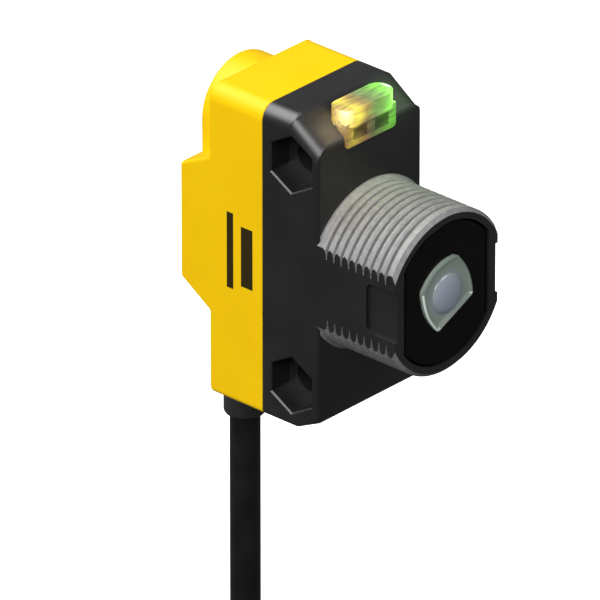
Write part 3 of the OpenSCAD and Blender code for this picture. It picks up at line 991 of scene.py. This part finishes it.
def lamp_glow(name, strength, body):
    """Clear plastic lit from inside, amber at the left and green at the right, in streaks.

    strength is how strongly it glows and body is its colour where it isn't lit, which the copies
    set lighter for a painted highlight on the rim and darker for painted shade in the dimples.
    """
    material = bpy.data.materials.new(name)
    material.use_nodes = True
    nodes, links = material.node_tree.nodes, material.node_tree.links
    shader = nodes["Principled BSDF"]
    shader.inputs["Base Color"].default_value = (*body, 1)
    shader.inputs["Roughness"].default_value = 0.12
    shader.inputs["Transmission Weight"].default_value = 0.5
    shader.inputs["IOR"].default_value = 1.49
    shader.inputs["Coat Weight"].default_value = 0.5
    place = nodes.new("ShaderNodeTexCoord")
    split = nodes.new("ShaderNodeSeparateXYZ")
    links.new(place.outputs["Object"], split.inputs["Vector"])
    across = nodes.new("ShaderNodeMapRange")
    across.inputs["From Min"].default_value = -lamp_half
    across.inputs["From Max"].default_value = lamp_half
    links.new(split.outputs["X"], across.inputs["Value"])
    light = nodes.new("ShaderNodeValToRGB")
    steps = light.color_ramp.elements
    steps[0].color = (0.50, 0.22, 0.03, 1)
    steps[1].color = (0.16, 0.90, 0.03, 1)
    for at, colour in (
        (0.20, (1.0, 0.80, 0.05, 1)), (0.38, (0.42, 0.22, 0.04, 1)),
        (0.55, (0.16, 0.20, 0.06, 1)), (0.72, (0.22, 0.48, 0.07, 1)),
        (0.88, (0.24, 1.0, 0.03, 1)),
    ):
        steps.new(at).color = colour
    links.new(across.outputs["Result"], light.inputs["Fac"])
    links.new(light.outputs["Color"], shader.inputs["Emission Color"])
    along = nodes.new("ShaderNodeMapping")
    along.inputs["Scale"].default_value = (1 / (2.6 * mm), 1 / (0.5 * mm), 1 / (0.55 * mm))
    links.new(place.outputs["Object"], along.inputs["Vector"])
    streaks = nodes.new("ShaderNodeTexNoise")
    streaks.inputs["Scale"].default_value = 1
    streaks.inputs["Detail"].default_value = 2
    links.new(along.outputs["Vector"], streaks.inputs["Vector"])
    bright = nodes.new("ShaderNodeMapRange")
    bright.inputs["From Min"].default_value = 0.35
    bright.inputs["From Max"].default_value = 0.65
    bright.inputs["To Min"].default_value = 0.45 * strength
    bright.inputs["To Max"].default_value = 1.2 * strength
    links.new(streaks.outputs["Fac"], bright.inputs["Value"])
    links.new(bright.outputs["Result"], shader.inputs["Emission Strength"])
    return material


# One clear plastic in four copies with painted light: the rim's whitish colour is a painted
# highlight on the top, the dimples' dark colour and weak glow are painted shade in the hollows,
# and the plate glows more weakly than the block.
lamp.data.materials.append(lamp_glow("lit indicator", 0.95, (0.16, 0.17, 0.14)))
lamp.data.materials.append(lamp_glow("dimples painted shade", 0.14, (0.04, 0.045, 0.03)))
lamp.data.materials.append(lamp_glow("lit plate", 0.42, (0.12, 0.12, 0.09)))
lamp.data.materials.append(lamp_glow("rim painted highlight", 1.0, (0.62, 0.62, 0.50)))
block_slot, dimple_slot, plate_slot, rim_slot = range(4)
for face in lamp.data.polygons:
    spot = face.center
    face.material_index = block_slot
    if spot.z < plate_high:
        face.material_index = plate_slot
    elif near(spot.z, lamp_top):
        face.material_index = rim_slot
    in_dimple = (abs(abs(spot.x) - dimple_x) < dimple_half[0]
                 and abs(spot.z - dimple_z) < dimple_half[1])
    if in_dimple and plate_front + 0.01 * mm < spot.y < plate_front + dimple_deep:
        face.material_index = dimple_slot
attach(lamp, "sensor")
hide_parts("indicator_lens")

# The light that the two lamps throw on the housing round the lens.
for name, x, colour in (("amber spill", -4.6 * mm, (1.0, 0.78, 0.42)),
                        ("green spill", 4.4 * mm, (0.60, 1.0, 0.48))):
    bpy.ops.object.light_add(type="POINT", location=(x, front_y - 0.6 * mm, top_z + 0.6 * mm))
    spill = bpy.context.object
    spill.name = name
    spill.data.color = colour
    spill.data.energy = 0.0026
    spill.visible_glossy = False
    spill.data.shadow_soft_size = 0.8 * mm


# ---------------------------------------------------------------- cable boot
# A rubber sleeve moulded on the cable and held in the socket. Its lower end is a plain
# collar with a rounded edge.
boot = rod("boot_sleeve", boot_r, (cable_x, cable_y, boot_low.z), (cable_x, cable_y, boot_high.z))
edit(boot)
pick(boot, "EDGE", lambda c: near(c.z, boot_low.z))
bpy.ops.mesh.bevel(offset=0.55 * mm, segments=6, profile=0.5)
done()
carve(boot, rod("bore", cable_r, (cable_x, cable_y, boot_low.z - mm),
                (cable_x, cable_y, boot_high.z + mm), sides=48))
smooth(boot)
boot_rubber = moulded(
    "boot rubber", ((0.017, 0.017, 0.018), (0.024, 0.024, 0.025)),
    patch=3 * mm, gloss=(0.40, 0.50), grain=0.2 * mm, depth=0.006 * mm,
)
boot.data.materials.append(boot_rubber)
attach(boot, "sensor")
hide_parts("cable_boot")


# ---------------------------------------------------------------- gain adjuster
# The small off-white rotor in the arched boss is turned with a screwdriver. It has a
# chamfered head with a slot and stands on the shaft of the blue trimmer behind it.
rotor_low, rotor_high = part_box("gain_rotor")
rotor_r = (rotor_high.x - rotor_low.x) / 2
head_low = back_y - 0.7 * mm
stem_r = 1.15 * mm
slot_half = 0.35 * mm
slot_long = 1.7 * mm
slot_deep = 0.9 * mm
rotor = rod("rotor_head", rotor_r, (0, head_low, arch_z), (0, rotor_high.y, arch_z), sides=64)
edit(rotor)
pick(rotor, "EDGE", lambda c: near(c.y, rotor_high.y))
bpy.ops.mesh.bevel(offset=0.25 * mm, segments=3, profile=0.5)
done()
carve(rotor, rod("stem", stem_r, (0, rotor_low.y, arch_z), (0, back_y - 0.5 * mm, arch_z),
                 sides=48), "UNION")
carve(rotor, block("slot", (-slot_half, rotor_high.y - slot_deep, arch_z - slot_long),
                   (slot_half, rotor_high.y + mm, arch_z + slot_long)))
smooth(rotor)
rotor_plastic = moulded(
    "rotor plastic", ((0.66, 0.66, 0.61), (0.76, 0.76, 0.71)),
    patch=1.5 * mm, gloss=(0.38, 0.5), grain=0.12 * mm, depth=0.004 * mm,
)
rotor.data.materials.append(rotor_plastic)
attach(rotor, "adjuster")
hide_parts("gain_rotor")


# ---------------------------------------------------------------- seals, tube and stop
# Soft black rings between the mouldings, and the matt black tube that carries the lens.
seal_rubber = moulded(
    "seal rubber", ((0.016, 0.016, 0.016), (0.026, 0.026, 0.026)),
    patch=2 * mm, gloss=(0.55, 0.7), grain=0.1 * mm, depth=0.006 * mm,
)
for node in ("housing_seal", "window_seal", "gain_seal"):
    dress(node, seal_rubber)
tube_black = moulded(
    "tube black", ((0.010, 0.010, 0.011), (0.016, 0.016, 0.017)),
    patch=3 * mm, gloss=(0.6, 0.75), grain=0.12 * mm, depth=0.008 * mm,
)
for node in ("lens_tube", "light_stop", "link_block"):
    dress(node, tube_black)


# ---------------------------------------------------------------- boards
# Two glass-fibre boards under green solder mask. Straight tracks show through the mask as
# slightly lighter lines.
def solder_mask():
    material = moulded(
        "solder mask", ((0.008, 0.085, 0.035), (0.012, 0.12, 0.05)),
        patch=3 * mm, gloss=(0.25, 0.35), grain=0.1 * mm, depth=0.003 * mm, coat=0.3,
    )
    nodes, links = material.node_tree.nodes, material.node_tree.links
    place = nodes.new("ShaderNodeTexCoord")
    tracks = nodes.new("ShaderNodeTexBrick")
    tracks.inputs["Scale"].default_value = 1
    tracks.inputs["Brick Width"].default_value = 3.2 * mm
    tracks.inputs["Row Height"].default_value = 0.9 * mm
    tracks.inputs["Mortar Size"].default_value = 0.12 * mm
    turn = nodes.new("ShaderNodeMapping")
    turn.inputs["Rotation"].default_value = (math.radians(90), 0, 0)
    links.new(place.outputs["Object"], turn.inputs["Vector"])
    links.new(turn.outputs["Vector"], tracks.inputs["Vector"])
    mix = nodes.new("ShaderNodeMix")
    mix.data_type = "RGBA"
    links.new(tracks.outputs["Fac"], mix.inputs["Factor"])
    links.new(nodes["tone"].outputs["Color"], mix.inputs["A"])
    mix.inputs["B"].default_value = (0.03, 0.22, 0.08, 1)
    links.new(mix.outputs["Result"], nodes["Principled BSDF"].inputs["Base Color"])
    return material


mask = solder_mask()
dress("main_board", mask)
dress("sensor_board", mask)


# ---------------------------------------------------------------- parts on the boards
# Moulded chip packages, tantalum capacitors, plated pins, the blue trimmer, the two lamps
# and the formed steel clip that takes the pull of the cable.
epoxy = moulded(
    "chip epoxy", ((0.020, 0.020, 0.023), (0.032, 0.032, 0.036)),
    patch=1 * mm, gloss=(0.45, 0.6), grain=0.08 * mm, depth=0.005 * mm,
)
for node in ("control_chip", "output_transistors", "photodiode"):
    dress(node, epoxy)
dress("capacitors", moulded(
    "tantalum case", ((0.50, 0.27, 0.05), (0.64, 0.38, 0.09)),
    patch=1 * mm, gloss=(0.4, 0.5), grain=0.08 * mm, depth=0.004 * mm,
))
dress("link_pins", moulded(
    "plated pins", ((0.70, 0.52, 0.22), (0.80, 0.62, 0.30)),
    patch=0.6 * mm, gloss=(0.22, 0.35), grain=0.06 * mm, depth=0.002 * mm, metallic=1.0,
))
dress("gain_pot_body", moulded(
    "trimmer case", ((0.014, 0.06, 0.28), (0.022, 0.09, 0.38)),
    patch=2 * mm, gloss=(0.3, 0.4), grain=0.1 * mm, depth=0.004 * mm,
))
dress("cable_clamp", moulded(
    "clip steel", ((0.46, 0.46, 0.45), (0.60, 0.60, 0.58)),
    patch=0.8 * mm, gloss=(0.28, 0.42), grain=0.05 * mm, depth=0.003 * mm, metallic=1.0,
))
for node, tones, light in (
    ("amber_led", ((0.9, 0.40, 0.03), (1.0, 0.50, 0.05)), (1.0, 0.42, 0.03, 1)),
    ("green_led", ((0.10, 0.75, 0.03), (0.15, 0.9, 0.05)), (0.10, 1.0, 0.02, 1)),
):
    lamp_chip = moulded(
        node.replace("_", " "), tones,
        patch=0.5 * mm, gloss=(0.2, 0.3), grain=0.1 * mm, depth=0.002 * mm,
    )
    glow = lamp_chip.node_tree.nodes["Principled BSDF"]
    glow.inputs["Emission Color"].default_value = light
    glow.inputs["Emission Strength"].default_value = 4
    dress(node, lamp_chip)
